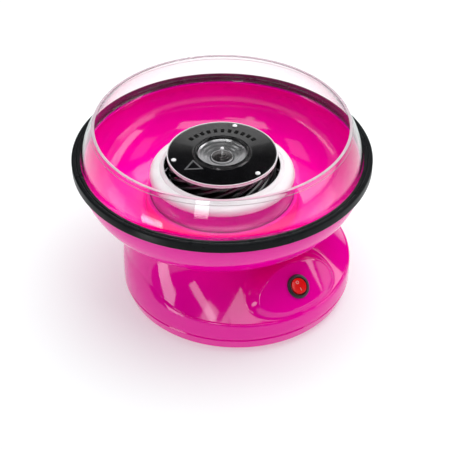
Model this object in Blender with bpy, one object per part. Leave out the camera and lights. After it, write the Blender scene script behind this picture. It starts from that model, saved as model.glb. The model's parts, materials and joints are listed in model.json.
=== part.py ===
"""Home cotton candy machine: base with motor and heater cup, spinning head, lift-off bowl and guard.

Sizes are in millimetres and become metres when a mesh is made. The spinning axis is X = Y = 0,
the table is Z = 0 and the switch faces -Y.
"""
import bpy
import bmesh
from math import cos, hypot, pi, radians, sin, sqrt
from mathutils import Vector

MM = 0.001
GAP = 0.3                     # clearance between touching pieces

# Facets around round pieces
BIG, MEDIUM, SMALL = 36, 20, 8

# Bowl: an ellipse quarter from the rim down to a flat bottom, with a raised hub round the cup
BOWL_CURVE_R, BOWL_CURVE_Z = 80.0, 134.0
BOWL_HALF_W, BOWL_HALF_H = 59.0, 56.0
BOWL_WALL = 2.6
BOWL_FLANGE_R, BOWL_LEDGE_R, BOWL_TOP_Z = 141.5, 132.6, 138.0
HUB_IN_R, HUB_OUT_R, HUB_TOP_Z = 71.3, 75.0, 98.6
# Black rim ring and clear splash guard
RIM_R, RIM_TOP_Z, RIM_BOTTOM_Z, RIM_IN_R = 145.0, 143.5, 134.5, 136.5
GUARD_FOOT_R, GUARD_TOP_R, GUARD_TOP_Z, GUARD_WALL = 136.1, 123.6, 177.1, 2.3
# Heater cup
CUP_R, CUP_SHOULDER_Z, CUP_WALL, CUP_FLOOR_Z = 70.8, 118.0, 1.0, 84.5
CUP_CREASE_R, CUP_CREASE_Z, CUP_LIP_R, CUP_LIP_Z = 61.2, 126.4, 56.5, 128.8
HEATER_R, HEATER_TUBE_R, HEATER_Z = 62.0, 3.0, 100.0
# Spinning head
HEAD_R, HEAD_TOP_Z = 53.8, 142.4
RIVET_RING_R, RIVET_FIRST_ANGLE = 48.0, 37.4
VANES, VANE_OUT_R, VANE_IN_R, VANE_TWIST = 18, 52.0, 49.9, 66.0
SHAFT_R, SHAFT_BOTTOM_Z, SHAFT_TOP_Z, BORE_R = 4.0, 9.2, 129.0, 4.35
PIN_Z = 99.5
# Base: a round housing set forward of the spinning axis, scooped out at the front
BASE_SHIFT = 23.6
BASE_R = 113.0
PAN_BOTTOM_Z, PAN_FLOOR_Z, SEAM_Z = 3.5, 6.3, 17.0
CREASE_FRONT_Z, CREASE_RISE = 34.0, 11.0
CREASE_FADE_START, CREASE_FADE = 52.0, 36.0
SCOOP_DEPTH, SCOOP_ANGLE, TOP_LEAN = 54.6, 100.0, 4.0
SHELL_WALL = 2.4
DECK_Z, DECK_HOLE_R = 77.2, 31.0
# Switch pod on the front slope
POD_Y, POD_Z, POD_TILT = -118.5, 53.0, 46.0
POD_FACE_X, POD_FACE_DOWN, POD_FACE_UP = 42.0, 19.0, 22.0
POD_FOOT_X, POD_FOOT_DOWN, POD_FOOT_UP = 52.0, 27.0, 46.0
POD_FLAT_X, POD_CROWN_R = 12.0, 115.0
SWITCH_R, SWITCH_BARREL_R, ROCKER_R = 11.75, 9.9, 7.8
ROCKER_PIVOT, ROCKER_REST = 0.6, 8.0
# Motor
MOTOR_R, MOTOR_BOTTOM_Z, MOTOR_TOP_Z = 30.0, 13.0, 61.9
MOTOR_SCREW_R, CUP_SCREW_R = 42.0, 50.0
FOOT_RING_R, SCREW_RING_R = 85.0, 100.0
GLAND_Z = 27.0


def clear_scene():
    for obj in list(bpy.data.objects):
        bpy.data.objects.remove(obj)


def finish(name, rgb, roughness, metallic=0.0, alpha=1.0):
    made = bpy.data.materials.new(name)
    made.use_nodes = True
    shader = made.node_tree.nodes["Principled BSDF"]
    shader.inputs["Base Color"].default_value = (*rgb, 1.0)
    shader.inputs["Roughness"].default_value = roughness
    shader.inputs["Metallic"].default_value = metallic
    shader.inputs["Alpha"].default_value = alpha
    return made


def empty(name, parent=None, at=(0, 0, 0), tilt=0.0):
    made = bpy.data.objects.new(name, None)
    bpy.context.scene.collection.objects.link(made)
    made.parent = parent
    made.location = Vector(at) * MM
    made.rotation_euler = (radians(tilt), 0, 0)
    return made


def piece(name, verts, faces, look, parent, at=(0, 0, 0), turn=(0, 0, 0), smooth=True):
    """One named object from vertices in millimetres, with its faces made to point out."""
    mesh = bpy.data.meshes.new(name)
    mesh.from_pydata([Vector(v) * MM for v in verts], [], faces)
    shaped = bmesh.new()
    shaped.from_mesh(mesh)
    bmesh.ops.recalc_face_normals(shaped, faces=shaped.faces)
    shaped.to_mesh(mesh)
    shaped.free()
    if smooth:
        mesh.shade_smooth()
        mesh.set_sharp_from_angle(angle=radians(35))
    if look:
        mesh.materials.append(look)
    made = bpy.data.objects.new(name, mesh)
    bpy.context.scene.collection.objects.link(made)
    made.parent = parent
    made.location = Vector(at) * MM
    made.rotation_euler = [radians(a) for a in turn]
    return made


def ring_faces(rings):
    """Faces between neighbouring rings of vertex numbers; a ring of one vertex is a pole."""
    faces = []
    for low, high in zip(rings, rings[1:]):
        count = max(len(low), len(high))
        for i in range(count):
            j = (i + 1) % count
            if len(low) == 1:
                faces.append((low[0], high[i], high[j]))
            elif len(high) == 1:
                faces.append((low[i], low[j], high[0]))
            else:
                faces.append((low[i], low[j], high[j], high[i]))
    return faces


def turned(name, outline, look, parent, facets=MEDIUM, **place):
    """A solid turned about Z from a closed outline of (radius, height) points."""
    verts, rings = [], []
    for radius, height in outline:
        count = facets if radius > 0 else 1
        rings.append(range(len(verts), len(verts) + count))
        for i in range(count):
            angle = 2 * pi * i / facets
            verts.append((radius * cos(angle), radius * sin(angle), height))
    if outline[0][0] > 0:
        rings.append(rings[0])
    return piece(name, verts, ring_faces(rings), look, parent, **place)


def prism(name, outline, low, high, look, parent, **place):
    """A straight solid from a plan outline of (x, y) points."""
    count = len(outline)
    verts = [(x, y, z) for z in (low, high) for x, y in outline]
    faces = ring_faces([range(count), range(count, 2 * count)])
    faces += [tuple(range(count)), tuple(range(count, 2 * count))]
    return piece(name, verts, faces, look, parent, smooth=False, **place)


def rectangle(x0, x1, y0, y1):
    return [(x0, y0), (x1, y0), (x1, y1), (x0, y1)]


def arc(centre_r, centre_z, half_w, half_h, start, end, steps):
    """Points on an ellipse arc, angles in degrees from the +radius direction."""
    angles = [radians(start + (end - start) * i / steps) for i in range(steps + 1)]
    return [(centre_r + half_w * cos(a), centre_z + half_h * sin(a)) for a in angles]


def around(radius, angle, centre_y=0.0):
    return radius * cos(radians(angle)), centre_y + radius * sin(radians(angle))


def joined_mesh(name, sources):
    """One guide mesh from several, for a cut or a union that repeats."""
    guide_bm = bmesh.new()
    for source in sources:
        source.data.transform(source.matrix_basis)
        guide_bm.from_mesh(source.data)
        bpy.data.objects.remove(source)
    mesh = bpy.data.meshes.new(name)
    guide_bm.to_mesh(mesh)
    guide_bm.free()
    made = bpy.data.objects.new(name, mesh)
    bpy.context.scene.collection.objects.link(made)
    return made


def combine(target, guide, operation="DIFFERENCE"):
    guide.hide_render = True
    guide.display_type = "WIRE"
    step = target.modifiers.new(operation.lower(), "BOOLEAN")
    step.operation = operation
    step.object = guide


def drill_guide(name, radius, low, high, places):
    """Cylinders along Z that cut or add at each (x, y) place."""
    outline = [(0, low), (radius, low), (radius, high), (0, high)]
    return joined_mesh(name, [turned(f"{name}_{i}", outline, None, None, SMALL, at=(x, y, 0))
                              for i, (x, y) in enumerate(places)])


def tube(name, route, radius, look, parent):
    """A round bar or lead that follows its route's points."""
    curve = bpy.data.curves.new(name, "CURVE")
    curve.dimensions = "3D"
    curve.bevel_depth = radius * MM
    curve.bevel_resolution = 2
    curve.use_fill_caps = True
    spline = curve.splines.new("POLY")
    spline.points.add(len(route) - 1)
    for point, place in zip(spline.points, route):
        point.co = (*(Vector(place) * MM), 1.0)
    curve.materials.append(look)
    made = bpy.data.objects.new(name, curve)
    bpy.context.scene.collection.objects.link(made)
    made.parent = parent
    return made


def lead(name, route, radius, look, parent):
    """A lead on a smooth curve that passes through every point of its route."""
    points = [Vector(p) for p in route]
    padded = [points[0] * 2 - points[1], *points, points[-1] * 2 - points[-2]]
    smooth_route = []
    steps = 3
    for a, b, c, d in zip(padded, padded[1:], padded[2:], padded[3:]):
        for i in range(steps):
            t = i / steps
            between = (b * 2 + (c - a) * t + (a * 2 - b * 5 + c * 4 - d) * t * t
                       + (b * 3 - a - c * 3 + d) * t ** 3) / 2
            smooth_route.append(between)
    smooth_route.append(points[-1])
    return tube(name, smooth_route, radius, look, parent)


def screw_outline(head_r, head_low, head_high, shank_r, shank_end):
    """A pan head screw; its shank runs from the head to shank_end, up or down."""
    if shank_end > head_high:
        return [(0, head_low), (head_r * 0.8, head_low), (head_r, head_low + 0.6),
                (head_r, head_high), (shank_r, head_high), (shank_r, shank_end), (0, shank_end)]
    return [(0, shank_end), (shank_r, shank_end), (shank_r, head_low), (head_r, head_low),
            (head_r, head_high - 0.6), (head_r * 0.8, head_high), (0, head_high)]


def smoothstep(t):
    t = min(max(t, 0.0), 1.0)
    return t * t * (3 - 2 * t)


def base_reach(angle, radius):
    """Distance from the spinning axis to the base's round outline, angle from the front."""
    a = radians(angle)
    return BASE_SHIFT * cos(a) + sqrt(radius ** 2 - (BASE_SHIFT * sin(a)) ** 2)


def bowl_outside_z(radius):
    across = max(radius - BOWL_CURVE_R, 0.0) / BOWL_HALF_W
    return BOWL_CURVE_Z - BOWL_HALF_H * sqrt(max(1 - across ** 2, 0.0))


def shell_column(angle):
    """Outer (radius, height) points of the base shell at one angle from the front."""
    crease_z = CREASE_FRONT_Z + CREASE_RISE * (1 - cos(radians(angle)))
    scoop = SCOOP_DEPTH * (1 - smoothstep(angle / SCOOP_ANGLE))
    top_r = base_reach(angle, BASE_R) - TOP_LEAN - scoop
    top_z = bowl_outside_z(top_r) - 0.8
    soft = smoothstep((angle - CREASE_FADE_START) / CREASE_FADE)
    column = [(base_reach(angle, BASE_R - 0.4), SEAM_Z + GAP),
              (base_reach(angle, BASE_R), SEAM_Z + 4),
              (base_reach(angle, BASE_R - 0.1), crease_z - 6 - 6 * soft),
              (base_reach(angle, BASE_R - 0.7), crease_z - 1.8 - 5 * soft),
              (base_reach(angle, BASE_R - 2.4), crease_z + 4 * soft)]
    foot_r, foot_z = column[-1]
    hollow = 1.4
    steps = 7
    for i in range(1, steps + 1):
        s = i / steps
        inward = 1 - (1 - s) ** hollow
        column.append((foot_r + (top_r - foot_r) * inward, foot_z + (top_z - 1.4 - foot_z) * s))
    deck_edge = 74.0
    for part in (1.0, 0.5, 0.0):
        radius = deck_edge + (top_r - 1.3 - deck_edge) * part
        column.append((radius, bowl_outside_z(radius) - 0.8))
    column.append((DECK_HOLE_R, DECK_Z))
    return column


def inset_column(column):
    """The same column one wall inside: every corner moves in along its mitre."""
    normals = []
    for (r0, z0), (r1, z1) in zip(column, column[1:]):
        length = hypot(r1 - r0, z1 - z0)
        normals.append(((z0 - z1) / length, (r1 - r0) / length))
    inner = [(column[0][0] - SHELL_WALL, column[0][1])]
    for (r, z), (ar, az), (br, bz) in zip(column[1:], normals, normals[1:]):
        reach = SHELL_WALL / (1 + ar * br + az * bz)
        inner.append((r + (ar + br) * reach, z + (az + bz) * reach))
    inner.append((column[-1][0], column[-1][1] - SHELL_WALL))
    return inner


def raise_pod(point, depth):
    """Lift a point of the front slope to the pod's face, or to depth behind it, where it lies under."""
    tilt = radians(POD_TILT)
    out = Vector((0, -sin(tilt), cos(tilt)))
    up = Vector((0, cos(tilt), sin(tilt)))
    away = point - Vector((0, POD_Y, POD_Z))
    x, u, below = point.x, away.dot(up), -away.dot(out) - depth
    face_u = POD_FACE_DOWN if u < 0 else POD_FACE_UP
    foot_u = POD_FOOT_DOWN if u < 0 else POD_FOOT_UP
    inside = hypot(x / POD_FACE_X, u / face_u)
    outside = hypot(x / POD_FOOT_X, u / foot_u)
    if outside >= 1 or below <= 0 or point.y > 0:
        return point
    share = 1.0
    if inside > 1:
        share = 1 - smoothstep((inside - 1) / ((inside - 1) + (1 - outside)))
    crown = max(abs(x) - POD_FLAT_X, 0.0) ** 2 / (2 * POD_CROWN_R)
    return point + out * max(below - crown, 0.0) * share


def make_shell(look, parent):
    """The pink upper housing: one wall thick, open below, with a deck under the bowl."""
    columns = 48
    crowding = 0.45               # columns stand closer together round the switch pod
    outside, inside = [], []
    for i in range(columns):
        phase = 2 * pi * (i + 0.5) / columns
        angle = phase - crowding * sin(phase)
        turn = angle if angle <= pi else 2 * pi - angle
        outer = shell_column(turn * 180 / pi)
        for grid, column, depth in ((outside, outer, 0.0), (inside, inset_column(outer), SHELL_WALL)):
            grid.append([raise_pod(Vector((r * sin(angle), -r * cos(angle), z)), depth)
                         for r, z in column])
    rows = len(outside[0])
    verts = [grid[c][r] for grid in (outside, inside) for r in range(rows) for c in range(columns)]
    rings = [range(r * columns, (r + 1) * columns) for r in range(2 * rows)]
    closed = rings[:rows] + rings[:rows - 1:-1] + rings[:1]
    return piece("base_shell", verts, ring_faces(closed), look, parent)


def make_bowl(look, ring_look, clear_look, bowl_body, guard_body):
    inner_w, inner_h = BOWL_HALF_W - BOWL_WALL, BOWL_HALF_H - BOWL_WALL
    outline = [(BOWL_FLANGE_R, BOWL_TOP_Z), (BOWL_FLANGE_R, BOWL_TOP_Z - 2.4)]
    outline += arc(BOWL_CURVE_R, BOWL_CURVE_Z, BOWL_HALF_W, BOWL_HALF_H, 0, -90, 6)
    outline += [(HUB_IN_R + 0.6, 78.0), (HUB_IN_R, 78.8), (HUB_IN_R, HUB_TOP_Z - 1),
                (HUB_IN_R + 1, HUB_TOP_Z), (HUB_OUT_R - 0.8, HUB_TOP_Z - 0.6),
                (HUB_OUT_R, HUB_TOP_Z - 4), (HUB_OUT_R + 1.4, 84.0)]
    outline += arc(BOWL_CURVE_R, BOWL_CURVE_Z, inner_w, inner_h, -86, 0, 6)
    outline += [(BOWL_LEDGE_R, BOWL_TOP_Z - 1.2), (BOWL_LEDGE_R, BOWL_TOP_Z)]
    turned("bowl", outline, look, bowl_body, BIG)
    turned("rim_ring", [(RIM_R, RIM_BOTTOM_Z), (RIM_R, RIM_TOP_Z - 1.4),
                        (RIM_R - 1.4, RIM_TOP_Z), (RIM_R - 6.5, RIM_TOP_Z - 0.4),
                        (RIM_IN_R, RIM_TOP_Z - 1.4), (RIM_IN_R, BOWL_TOP_Z + GAP),
                        (BOWL_FLANGE_R + GAP, BOWL_TOP_Z + GAP), (BOWL_FLANGE_R + GAP, RIM_BOTTOM_Z)],
           ring_look, bowl_body, BIG)
    foot_z, straight_z = BOWL_TOP_Z + GAP, 144.0
    bulge = 1.5
    rise = [i / 4 for i in range(5)]
    outer = [(GUARD_FOOT_R - (GUARD_FOOT_R - GUARD_TOP_R) * t ** bulge,
              straight_z + (GUARD_TOP_Z - 0.6 - straight_z) * t) for t in rise]
    inner = [(r - GUARD_WALL, z) for r, z in reversed(outer)]
    top = [(GUARD_TOP_R - 0.6, GUARD_TOP_Z), (GUARD_TOP_R - GUARD_WALL + 0.6, GUARD_TOP_Z)]
    turned("splash_guard", [(GUARD_FOOT_R - GUARD_WALL, foot_z), (GUARD_FOOT_R, foot_z),
                            *outer, *top, *inner], clear_look, guard_body, BIG)


def make_cup(metal, base):
    """The fixed aluminium cup that surrounds the head, with the heater under its shoulder."""
    shoulder = arc(CUP_CREASE_R, CUP_SHOULDER_Z, CUP_R - CUP_CREASE_R,
                   CUP_CREASE_Z - CUP_SHOULDER_Z, 0, 90, 4)
    under = [(r - CUP_WALL, z - CUP_WALL * 0.6) for r, z in reversed(shoulder[:-1])]
    outline = [(14, CUP_FLOOR_Z - 1), (CUP_R - CUP_WALL, CUP_FLOOR_Z - 1),
               (CUP_R - CUP_WALL, DECK_Z + GAP), (CUP_R, DECK_Z + GAP), *shoulder,
               (CUP_LIP_R + 0.6, CUP_LIP_Z), (CUP_LIP_R, CUP_LIP_Z - 0.8),
               (CUP_CREASE_R - 0.4, CUP_CREASE_Z - 1.3), *under,
               (CUP_R - CUP_WALL, CUP_FLOOR_Z), (14, CUP_FLOOR_Z)]
    return turned("heater_cup", outline, metal, base, BIG)


def make_heater(looks, base, cup, shell):
    spread = 7.0
    leg_places = [around(HEATER_R, 90 + side * spread) for side in (1, -1)]
    path = []
    for side in (1, -1):
        start = 90 + side * spread
        ends = [(start, 70.0), (start, 82.0), (start, 94.0), (start + side * 1.5, 98.5),
                (start + side * 5, HEATER_Z)]
        part = [(*around(HEATER_R, a), z) for a, z in ends]
        path.append(part)
    sweep = range(1, 18)
    first, last = 90 + spread + 5, 450 - spread - 5
    circle = [(*around(HEATER_R, first + (last - first) * i / 18), HEATER_Z) for i in sweep]
    tube("heater_ring", path[0] + circle + path[1][::-1], HEATER_TUBE_R, looks["steel"], base)

    top = HEATER_Z - HEATER_TUBE_R - GAP
    floor = CUP_FLOOR_Z + GAP
    arm_r = 58.0
    bracket = turned("heater_bracket", [(arm_r, floor), (66, floor), (66, floor + 1.2),
                                        (HEATER_R + 1, floor + 1.2), (HEATER_R + 1, top),
                                        (HEATER_R - 1, top), (HEATER_R - 1, floor + 1.2),
                                        (arm_r, floor + 1.2)], looks["steel"], base, MEDIUM)
    slot = prism("bracket_gap", rectangle(-20, 20, 48, 74), floor - 1, top + 1, None, None)
    combine(bracket, slot)

    block = prism("heater_bushing", rectangle(-14, 14, HEATER_R - 7, HEATER_R + 5.5),
                  CUP_FLOOR_Z + GAP, CUP_FLOOR_Z + 7, looks["ceramic"], base)
    combine(block, drill_guide("leg_hole", HEATER_TUBE_R + 0.5, 80, 95, leg_places))
    wide = drill_guide("leg_clearance", HEATER_TUBE_R + 2, DECK_Z - 10, CUP_FLOOR_Z + 0.1, leg_places)
    combine(cup, wide)
    combine(shell, wide)
    x, y = around(38, 215)
    turned("thermal_cutout", [(0, floor), (9, floor), (9, floor + 1), (7.5, floor + 1),
                              (7.5, floor + 5), (6.5, floor + 6), (0, floor + 6)],
           looks["brown"], base, 14, at=(x, y, 0))
    turned("shaft_seal", [(5.2, floor), (20, floor), (20, floor + 2), (5.2, floor + 2)],
           looks["felt"], base)


def make_head(looks, head, rotor):
    rivet_places = [around(RIVET_RING_R, RIVET_FIRST_ANGLE + 120 * i) for i in range(3)]
    drills = drill_guide("rivet_hole", 1.9, 100, 150, rivet_places)
    bead = [(24.3, 144.0), (25.0, 144.5), (25.8, 144.0), (26.4, 143.0), (27.2, 143.6),
            (27.9, 143.4), (28.6, 141.9)]
    plate = turned("head_plate", [(24.3, 140.3), *bead, (51.9, 141.9), (52.4, 141.5),
                                  (52.4, 140.3)], looks["black"], head, 32)
    dish = turned("head_dish", [(30, 139.0), (53.0, 138.6), (HEAD_R, 139.2), (HEAD_R, 142.0),
                                (53.4, HEAD_TOP_Z), (52.8, 142.1), (52.8, 140.0), (30, 140.0)],
                  looks["aluminium"], head, 32)
    turned("head_funnel", [(12.2, 135.8), (22.8, 139.0), (29.6, 139.0), (29.6, 140.0),
                           (24.0, 140.0), (24.0, 141.7), (23.3, 141.9), (22.8, 140.6),
                           (12.2, 136.8)], looks["aluminium"], head)
    bottom = turned("head_base", [(6.0, 98.0), (10.0, 98.0), (10.0, 103.6), (51.5, 105.0),
                                  (52.0, 106.0), (52.0, 108.0), (49.9, 108.0), (49.5, 106.6),
                                  (6.0, 106.6)], looks["aluminium"], head, 32)
    for part in (plate, dish, bottom):
        combine(part, drills)
    make_vanes(looks["black"], head)
    slot_low, slot_high, slot_half = 95.0, PIN_Z + 1.8, 1.8
    sleeve = turned("drive_sleeve", [(0, 148.7), (1.4, 148.2), (1.9, 147.0), (1.1, 145.4),
                                     (1.3, 141.6), (4.6, 140.4), (7.0, 139.3), (10.1, 138.3),
                                     (11.2, 137.6), (11.2, 136.0), (5.6, 132.0), (5.6, 96.5),
                                     (BORE_R, 96.5), (BORE_R, SHAFT_TOP_Z + GAP),
                                     (0, SHAFT_TOP_Z + GAP)],
                    looks["aluminium"], head, 16)
    combine(sleeve, prism("sleeve_slot", rectangle(-9, 9, -slot_half, slot_half),
                          slot_low, slot_high, None, None))
    for i, (x, y) in enumerate(rivet_places):
        turned(f"head_rivet_{i + 1}", [(0, 101.9), (2.4, 102.2), (2.4, 104.3), (1.6, 104.3),
                                       (1.6, 142.2), (2.4, 142.2), (2.2, 142.9), (1.2, 143.4),
                                       (0, 143.5)], looks["steel"], head, SMALL, at=(x, y, 0))
    turned("drive_pin", [(0, -5.4), (1.4, -5.4), (1.4, 5.4), (0, 5.4)], looks["steel"],
           rotor, SMALL, at=(0, 0, PIN_Z), turn=(0, 90, 0))


def make_vanes(look, head):
    """A band of slanted vanes: a toothed ring twisted as it rises."""
    low, high, levels = 108.3, 138.2, 6
    tooth = [(0.0, 1.1), (0.12, 0.0), (0.5, 0.0), (0.62, 1.1)]
    verts, rings = [], []
    for inner in (False, True):
        for level in range(levels + 1):
            height = level / levels
            start = len(verts)
            for v in range(VANES):
                for part, cut in tooth:
                    angle = 2 * pi * (v + part) / VANES + radians(VANE_TWIST) * height
                    radius = VANE_IN_R if inner else VANE_OUT_R - cut
                    verts.append((radius * cos(angle), radius * sin(angle),
                                  low + (high - low) * height))
            rings.append(range(start, len(verts)))
    outer, inner = rings[:levels + 1], rings[levels + 1:]
    piece("vane_ring", verts, ring_faces(outer + inner[::-1] + outer[:1]), look, head)


def make_rotor(looks, rotor):
    shaft = turned("motor_shaft", [(0, SHAFT_BOTTOM_Z), (SHAFT_R, SHAFT_BOTTOM_Z + 0.5),
                                   (SHAFT_R, SHAFT_TOP_Z - 1), (SHAFT_R - 1, SHAFT_TOP_Z),
                                   (0, SHAFT_TOP_Z)], looks["steel"], rotor, 16)
    cross = turned("pin_hole", [(0, -9), (1.7, -9), (1.7, 9), (0, 9)], None, None, SMALL,
                   at=(0, 0, PIN_Z), turn=(0, 90, 0))
    combine(shaft, cross)
    turned("commutator", [(BORE_R, 19.0), (8.0, 19.0), (8.5, 19.6), (8.5, 25.0),
                          (9.6, 25.4), (9.6, 26.2), (BORE_R, 26.2)], looks["copper"], rotor, 14)
    make_armature(looks["core"], rotor)
    make_fan(looks["fan"], rotor)


def make_armature(look, rotor):
    """Seven-pole rotor core with its bundled windings at both ends."""
    poles, core_r, slot_r = 7, 19.6, 11.0
    outline = []
    for i in range(poles):
        for part, radius in ((0.12, slot_r), (0.22, core_r), (0.5, core_r), (0.78, core_r),
                             (0.88, slot_r)):
            angle = 2 * pi * (i + part) / poles
            outline.append((radius * cos(angle), radius * sin(angle)))
    core = prism("armature", outline, 30, 56, look, rotor)
    coils = turned("coil_ends", [(3.0, 26.6), (12.0, 26.6), (15.5, 28.0), (15.5, 58.5),
                                 (12.0, 60.5), (3.0, 60.5)], None, None, 14)
    combine(core, coils, "UNION")
    combine(core, drill_guide("armature_bore", BORE_R + 0.1, 20, 64, [(0, 0)]))


def make_fan(look, rotor):
    blades, hub_r, tip_r = 7, 8.5, 34.0
    outline = []
    for i in range(blades):
        angle = 2 * pi * i / blades
        lean = 0.35
        for radius, offset in ((hub_r, -0.16), (tip_r, lean - 0.024), (tip_r, lean + 0.024),
                               (hub_r, 0.16)):
            outline.append((radius * cos(angle + offset), radius * sin(angle + offset)))
    fan = prism("cooling_fan", outline, 78.4, 82.6, look, rotor)
    combine(fan, drill_guide("fan_bore", BORE_R, 76, 86, [(0, 0)]))


def make_motor(looks, base, shell):
    turned("motor_can", [(6.2, MOTOR_BOTTOM_Z), (MOTOR_R - 1, MOTOR_BOTTOM_Z),
                         (MOTOR_R, MOTOR_BOTTOM_Z + 1), (MOTOR_R, MOTOR_TOP_Z),
                         (MOTOR_R - 2, MOTOR_TOP_Z), (MOTOR_R - 2, MOTOR_BOTTOM_Z + 2),
                         (6.2, MOTOR_BOTTOM_Z + 2)], looks["zinc"], base)
    bell_z = MOTOR_TOP_Z + GAP
    turned("motor_end_bell", [(6.2, bell_z), (MOTOR_R, bell_z), (MOTOR_R, bell_z + 3),
                              (12, bell_z + 3), (12, bell_z + 5.6), (6.2, bell_z + 5.6)],
           looks["zinc"], base)
    turned("bearing_upper", [(BORE_R, 62.0), (5.9, 62.0), (5.9, 68.4), (BORE_R, 68.4)],
           looks["brass"], base, 16)
    turned("bearing_lower", [(BORE_R, 10.7), (9, 10.7), (9, 12.7), (5.9, 12.7), (5.9, 17.4),
                             (BORE_R, 17.4)], looks["brass"], base, 16)
    turned("brush_card", [(9.2, 15.3), (27.6, 15.3), (27.6, 18.3), (9.2, 18.3)],
           looks["brown"], base)
    for name, side in (("left", -1), ("right", 1)):
        ends = sorted((side * 9.9, side * 19))
        prism(f"brush_{name}", rectangle(*ends, -2.5, 2.5), 18.6, 24.6, looks["carbon"], base)
        edges = [side * 90 - 90 + a for a in range(-64, 65, 16)]
        outline = [around(27.6, a) for a in edges] + [around(20.4, a) for a in reversed(edges)]
        prism(f"magnet_{name}", outline, 29, 58, looks["carbon"], base)
    screw_places = [around(MOTOR_SCREW_R, 90 + 120 * i) for i in range(3)]
    plate_z = bell_z + 3 + GAP
    plate = turned("motor_plate", [(12.4, plate_z), (50, plate_z), (50, plate_z + 2),
                                   (12.4, plate_z + 2)], looks["zinc"], base)
    drills = drill_guide("motor_screw_hole", 1.9, 60, 80, screw_places)
    combine(plate, drills)
    combine(shell, drills)
    rubber_low, rubber_high = plate_z + 2 + GAP, DECK_Z - SHELL_WALL - GAP
    for i, (x, y) in enumerate(screw_places):
        turned(f"motor_grommet_{i + 1}", [(1.9, rubber_low), (6.5, rubber_low),
                                          (5.0, (rubber_low + rubber_high) / 2),
                                          (6.5, rubber_high), (1.9, rubber_high)],
               looks["rubber"], base, SMALL, at=(x, y, 0))
        turned(f"motor_screw_{i + 1}", screw_outline(3.2, plate_z - 2.6, plate_z - GAP, 1.6,
                                                     DECK_Z - 0.4),
               looks["steel"], base, SMALL, at=(x, y, 0))


def make_cup_screws(looks, base, cup, shell):
    places = [around(CUP_SCREW_R, -90 + 120 * i) for i in range(3)]
    drills = drill_guide("cup_screw_hole", 1.9, 66, 92, places)
    combine(cup, drills)
    combine(shell, drills)
    for i, (x, y) in enumerate(places):
        turned(f"cup_screw_{i + 1}", screw_outline(3.2, CUP_FLOOR_Z + GAP, CUP_FLOOR_Z + 2.6,
                                                   1.6, 71.5),
               looks["steel"], base, SMALL, at=(x, y, 0))


def make_base(looks, base):
    shell = make_shell(looks["pink"], base)
    pan = turned("base_pan", [(0, PAN_BOTTOM_Z), (104.5, PAN_BOTTOM_Z), (109.2, 4.6),
                              (BASE_R - 0.6, SEAM_Z), (BASE_R - 3, SEAM_Z), (106.6, 7.8),
                              (105.2, PAN_FLOOR_Z), (0, PAN_FLOOR_Z)],
                 looks["pink"], base, BIG, at=(0, -BASE_SHIFT, 0))
    slots = []
    slot_count, slot_in, slot_out, slot_half = 10, 44.0, 64.0, 1.7
    for i in range(slot_count):
        turn = 360 * i / slot_count
        slots.append(prism(f"vent_{i}", rectangle(slot_in, slot_out, -slot_half, slot_half),
                           0, 10, None, None, at=(0, -BASE_SHIFT, 0), turn=(0, 0, turn)))
    combine(pan, joined_mesh("vents", slots))

    foot_places = [around(FOOT_RING_R, 45 + 90 * i, -BASE_SHIFT) for i in range(4)]
    combine(pan, drill_guide("foot_hole", 3.95, 0, 12, foot_places))
    for i, (x, y) in enumerate(foot_places):
        turned(f"foot_{i + 1}", [(0, 0), (11, 0), (12.2, 0.8), (10.6, 2.8), (6, PAN_BOTTOM_Z - GAP),
                                 (3.6, PAN_BOTTOM_Z - GAP), (3.6, 9.0), (0, 9.4)],
               looks["rubber"], base, 16, at=(x, y, 0))

    screw_places = [around(SCREW_RING_R, a, -BASE_SHIFT) for a in (20, 160, 200, 340)]
    boss_low, boss_high = PAN_FLOOR_Z + 0.6, 31.0
    bosses = drill_guide("boss", 4.6, boss_low, boss_high, screw_places)
    ribs = []
    for i, a in enumerate((20, 160, 200, 340)):
        ribs.append(prism(f"rib_{i}", rectangle(SCREW_RING_R - 1, BASE_R - 1.4, -1.5, 1.5),
                          SEAM_Z + 2, boss_high - 1, None, None,
                          at=(0, -BASE_SHIFT, 0), turn=(0, 0, a)))
    combine(shell, bosses, "UNION")
    combine(shell, joined_mesh("ribs", ribs), "UNION")
    combine(shell, drill_guide("boss_bore", 1.9, 0, 26, screw_places))
    combine(pan, drill_guide("case_screw_hole", 1.9, 0, 12, screw_places))
    combine(pan, drill_guide("case_screw_recess", 4.0, 0, 5.2, screw_places))
    for i, (x, y) in enumerate(screw_places):
        turned(f"case_screw_{i + 1}", screw_outline(3.3, 3.6, 4.9, 1.6, 22),
               looks["steel"], base, SMALL, at=(x, y, 0))
    return shell


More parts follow.
